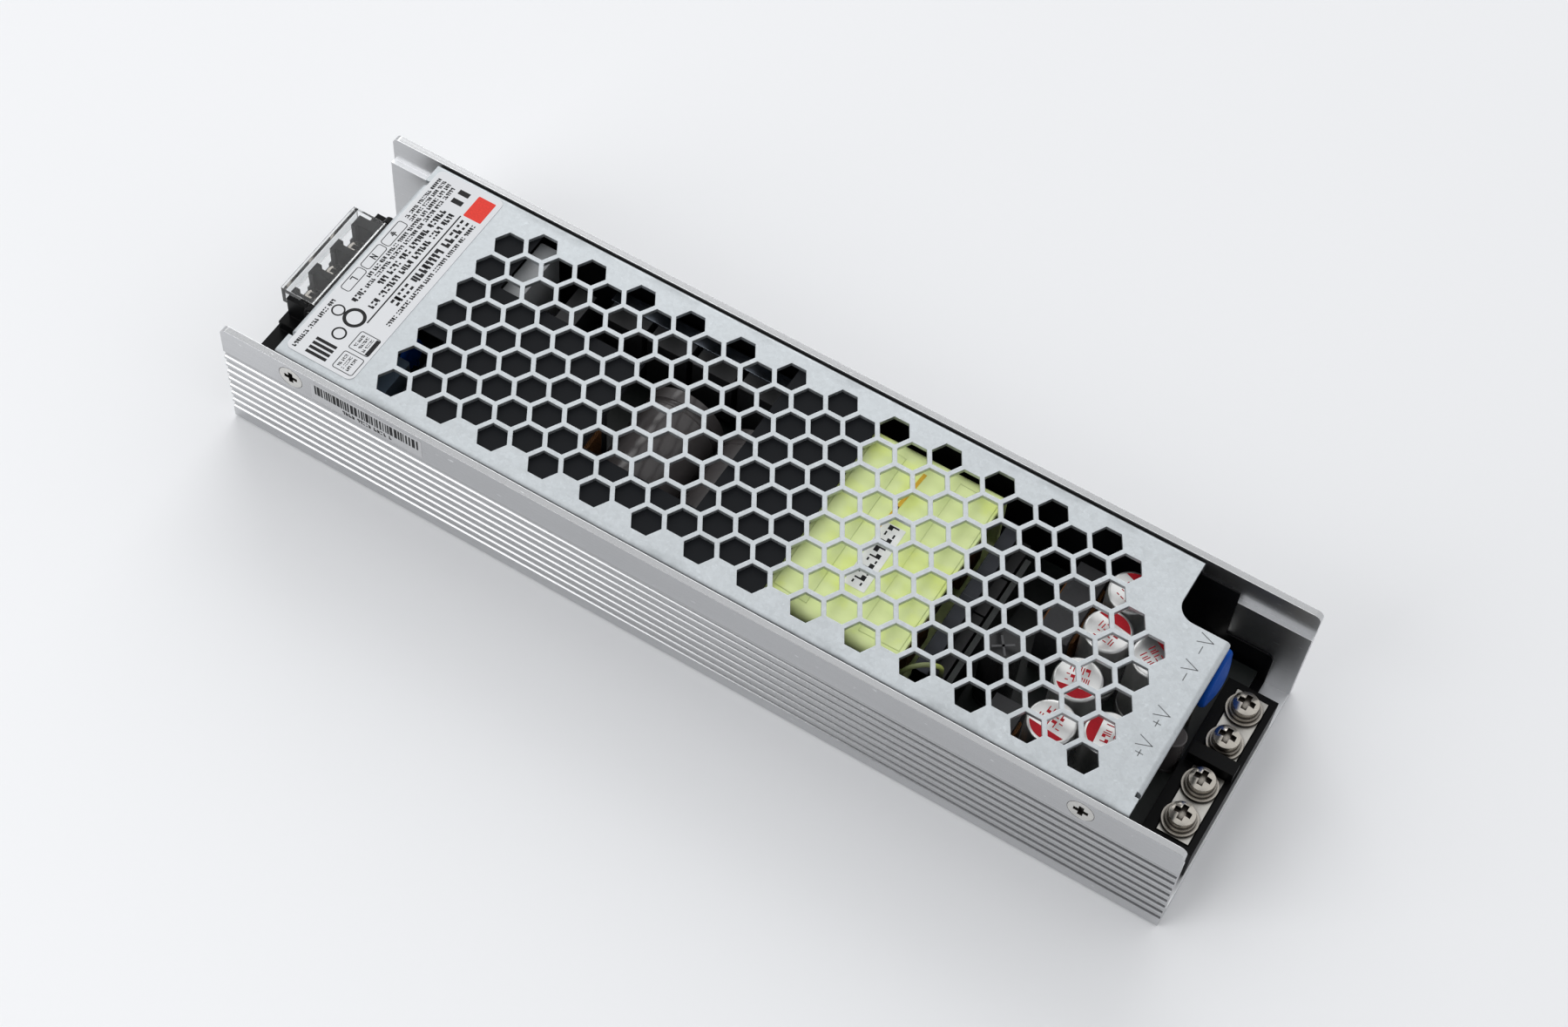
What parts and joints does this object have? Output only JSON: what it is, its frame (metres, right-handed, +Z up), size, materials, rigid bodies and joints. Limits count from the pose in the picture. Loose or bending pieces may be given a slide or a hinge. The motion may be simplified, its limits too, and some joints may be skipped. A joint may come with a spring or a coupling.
{
  "type": "enclosed power supply",
  "caption": "Slim enclosed AC-DC power supply: ribbed aluminium channel, perforated steel cover, barrier input terminals under a clear flip-up lid and screw terminals on two output busbars.",
  "frame": {"origin": "middle of the base, on the mounting face", "axes": "+X along the channel from the mains input end to the output end, +Y across to the far wall (negative output side), +Z up out of the open side of the channel"},
  "size_m": [0.22, 0.062, 0.031],
  "materials": {
    "satin_aluminium": "satin extruded",
    "galvanised_steel": "matt galvanised",
    "zinc_steel": "zinc plated",
    "label": "matt",
    "black_film": "semi-gloss film",
    "board": "satin",
    "black_plastic": "satin",
    "tinned_metal": "tinned",
    "clear_plastic": "clear",
    "ceramic": "glazed",
    "brass": "satin",
    "blue_epoxy": "gloss",
    "grey_plastic": "satin",
    "white_plastic": "satin",
    "ferrite": "matt",
    "copper": "enamelled",
    "dark_aluminium": "satin",
    "capacitor_sleeve": "gloss sleeve",
    "capacitor_can": "satin",
    "yellow_tape": "gloss tape"
  },
  "bodies": {
    "housing": {"chassis": "satin_aluminium", "top_cover": "galvanised_steel", "cover_screws": "zinc_steel", "rating_label": "label", "insulating_film": "black_film", "insulating_sheet": "black_film", "circuit_board": "board", "board_spacers": "zinc_steel", "board_screws": "zinc_steel", "input_terminal_block": "black_plastic", "input_contacts": "tinned_metal", "input_wire_clamps": "zinc_steel", "input_screws": "zinc_steel", "output_terminal_block": "black_plastic", "positive_busbar": "tinned_metal", "negative_busbar": "tinned_metal", "output_nuts": "zinc_steel", "output_flat_washers": "zinc_steel", "output_spring_washers": "zinc_steel", "output_screws": "zinc_steel", "mains_fuse": "ceramic", "fuse_clips": "brass", "varistor": "blue_epoxy", "filter_disc_capacitors": "blue_epoxy", "mains_film_capacitor": "grey_plastic", "filter_choke_core": "ferrite", "filter_choke_windings": "copper", "inrush_relay": "white_plastic", "bridge_rectifier": "black_plastic", "boost_choke_core": "ferrite", "boost_choke_winding": "copper", "mains_heatsink": "dark_aluminium", "power_transistors": "black_plastic", "bulk_capacitors": "capacitor_sleeve", "transformer_base": "black_plastic", "transformer_core": "ferrite", "transformer_coil": "copper", "transformer_wrap": "yellow_tape", "rectifier_heatsink": "dark_aluminium", "rectifier_transistors": "black_plastic", "control_board": "board", "auxiliary_capacitor": "capacitor_sleeve", "output_choke_cores": "ferrite", "output_choke_coils": "copper", "output_capacitors": "capacitor_can", "filter_capacitor": "capacitor_sleeve", "disc_capacitor": "blue_epoxy"},
    "lid": {"input_lid": "clear_plastic"}
  },
  "joints": [
    {"name": "lid_hinge", "type": "hinge", "parent": "housing", "child": "lid", "pos_m": [-0.1, 0, 0.0246], "axis": [0, 1, 0], "range_deg": [0, 90]}
  ]
}
